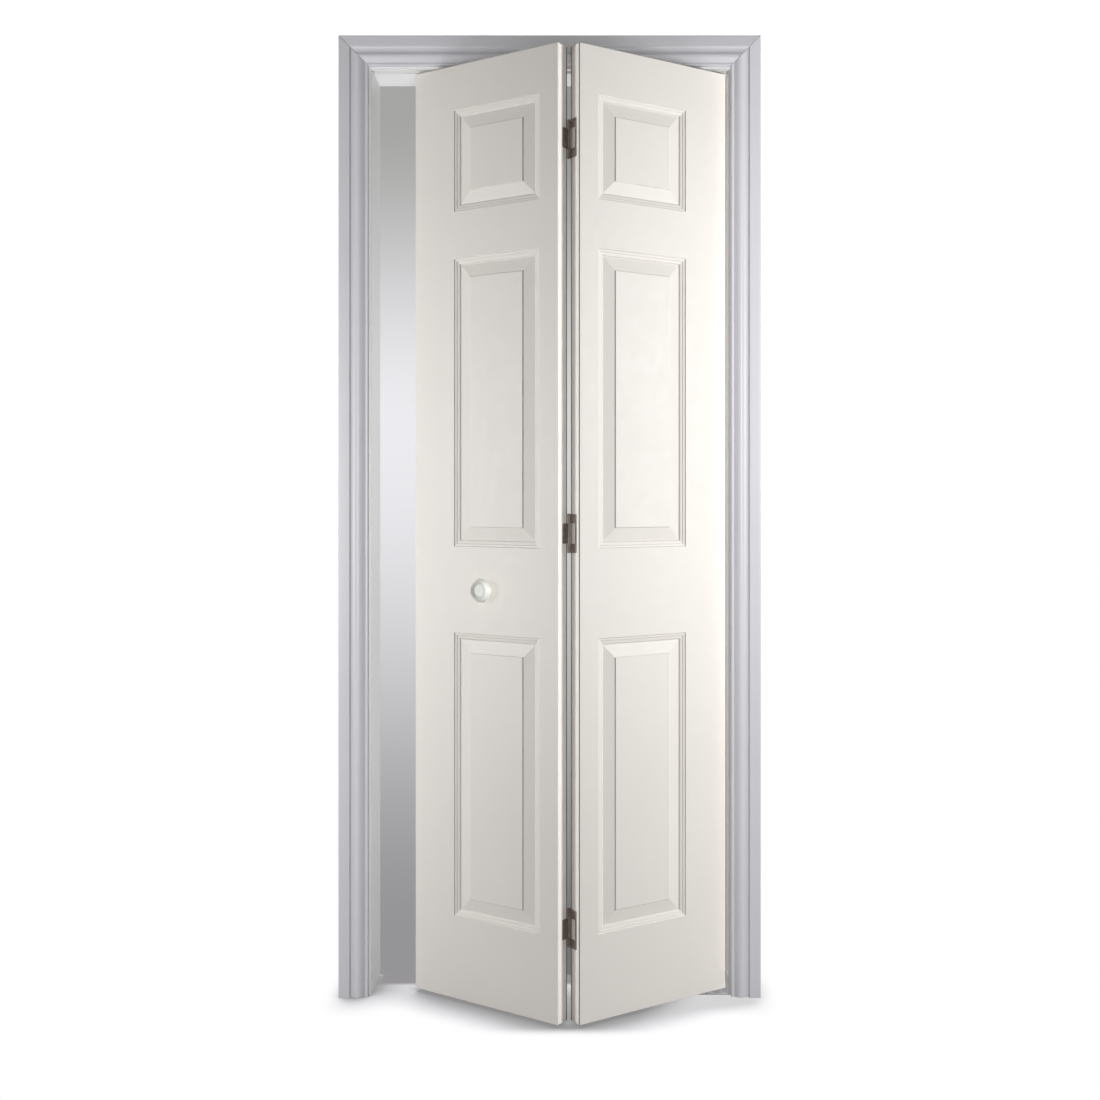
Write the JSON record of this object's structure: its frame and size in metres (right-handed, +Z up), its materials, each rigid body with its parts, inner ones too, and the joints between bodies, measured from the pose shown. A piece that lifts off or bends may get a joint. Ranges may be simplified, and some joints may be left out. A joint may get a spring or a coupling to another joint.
{
  "type": "bifold closet door",
  "caption": "Cased closet door frame with two hinged moulded-panel leaves that fold outwards, one pivoting at the jamb and one guided by a roller in a recessed top track.",
  "frame": {"origin": "floor level, middle of the finished opening, on the plane of the wall face (front edges of the jambs)", "axes": "+X right as seen from the room, +Y into the closet, +Z up"},
  "size_m": [0.9118, 0.2962, 2.078],
  "materials": {
    "trim_paint": "cool white satin paint on moulded wood",
    "jamb_paint": "white satin paint on flat wood",
    "leaf_paint": "warm white factory primer on moulded fibreboard",
    "edge_paint": "warm white primer brushed on planed softwood edges",
    "board": "brown paperboard",
    "bronze": "dark bronze lacquer on pressed steel",
    "zinc": "bright zinc plating",
    "track_enamel": "white baked enamel on rolled steel",
    "nylon": "natural white nylon",
    "spring_steel": "drawn spring wire",
    "knob_paint": "glossy white enamel"
  },
  "bodies": {
    "frame": {"jamb_left": "jamb_paint", "jamb_right": "jamb_paint", "head_jamb": "jamb_paint", "casing_left": "trim_paint", "casing_right": "trim_paint", "casing_head": "trim_paint", "top_track": "track_enamel", "track_screw_left": "zinc", "track_screw_right": "zinc", "top_pivot_bracket": "zinc", "top_bracket_screw": "zinc", "bottom_jamb_bracket": "zinc", "bottom_bracket_screw_front": "zinc", "bottom_bracket_screw_back": "zinc", "bottom_pivot_pin": "zinc"},
    "pivot_leaf": {"pivot_leaf_front_skin": "leaf_paint", "pivot_leaf_back_skin": "leaf_paint", "pivot_leaf_pivot_stile": "edge_paint", "pivot_leaf_hinge_stile": "edge_paint", "pivot_leaf_top_rail": "edge_paint", "pivot_leaf_bottom_rail": "edge_paint", "pivot_leaf_core": "board", "top_pivot_housing": "nylon", "top_pivot_spring": "spring_steel", "bottom_pivot_housing": "nylon", "hinge_outer_leaf_top": "bronze", "hinge_outer_leaf_middle": "bronze", "hinge_outer_leaf_bottom": "bronze", "hinge_pin_top": "bronze", "hinge_pin_middle": "bronze", "hinge_pin_bottom": "bronze", "outer_hinge_screw_top_upper": "bronze", "outer_hinge_screw_top_lower": "bronze", "outer_hinge_screw_middle_upper": "bronze", "outer_hinge_screw_middle_lower": "bronze", "outer_hinge_screw_bottom_upper": "bronze", "outer_hinge_screw_bottom_lower": "bronze"},
    "top_pivot_pin": {"top_pivot_pin": "zinc"},
    "guide_leaf": {"guide_leaf_front_skin": "leaf_paint", "guide_leaf_back_skin": "leaf_paint", "guide_leaf_guide_stile": "edge_paint", "guide_leaf_hinge_stile": "edge_paint", "guide_leaf_top_rail": "edge_paint", "guide_leaf_bottom_rail": "edge_paint", "guide_leaf_core": "board", "guide_housing": "nylon", "guide_spring": "spring_steel", "knob": "knob_paint", "knob_screw": "zinc", "hinge_inner_leaf_top": "bronze", "hinge_inner_leaf_middle": "bronze", "hinge_inner_leaf_bottom": "bronze", "inner_hinge_screw_top_upper": "bronze", "inner_hinge_screw_top_lower": "bronze", "inner_hinge_screw_middle_upper": "bronze", "inner_hinge_screw_middle_lower": "bronze", "inner_hinge_screw_bottom_upper": "bronze", "inner_hinge_screw_bottom_lower": "bronze"},
    "guide_pin": {"guide_pin": "zinc"},
    "guide_roller": {"guide_roller": "nylon"}
  },
  "joints": [
    {"name": "pivot_hinge", "type": "hinge", "parent": "frame", "child": "pivot_leaf", "pos_m": [0.3496, 0.02, 0], "axis": [0, 0, 1], "range_deg": [-32.4, 53.6]},
    {"name": "fold_hinge", "type": "hinge", "parent": "pivot_leaf", "child": "guide_leaf", "pos_m": [0.04437, -0.14765, 0], "axis": [0, 0, 1], "range_deg": [-107.2, 64.8]},
    {"name": "top_pivot_pin_slide", "type": "slide", "parent": "pivot_leaf", "child": "top_pivot_pin", "axis": [0, 0, -1], "range_m": [0, 0.014], "stiffness_N_per_m": 300, "springref_m": -0.01, "deforming": ["top_pivot_spring"]},
    {"name": "guide_pin_slide", "type": "slide", "parent": "guide_leaf", "child": "guide_pin", "axis": [0, 0, -1], "range_m": [0, 0.014], "stiffness_N_per_m": 300, "springref_m": -0.01, "deforming": ["guide_spring"]},
    {"name": "guide_roller_spin", "type": "hinge", "parent": "guide_pin", "child": "guide_roller", "pos_m": [-0.26087, 0.02, 2.0145], "axis": [0, 0, 1], "continuous": true}
  ],
  "couplings": [
    {"joint": "fold_hinge", "follows": "pivot_hinge", "ratio": -2}
  ]
}
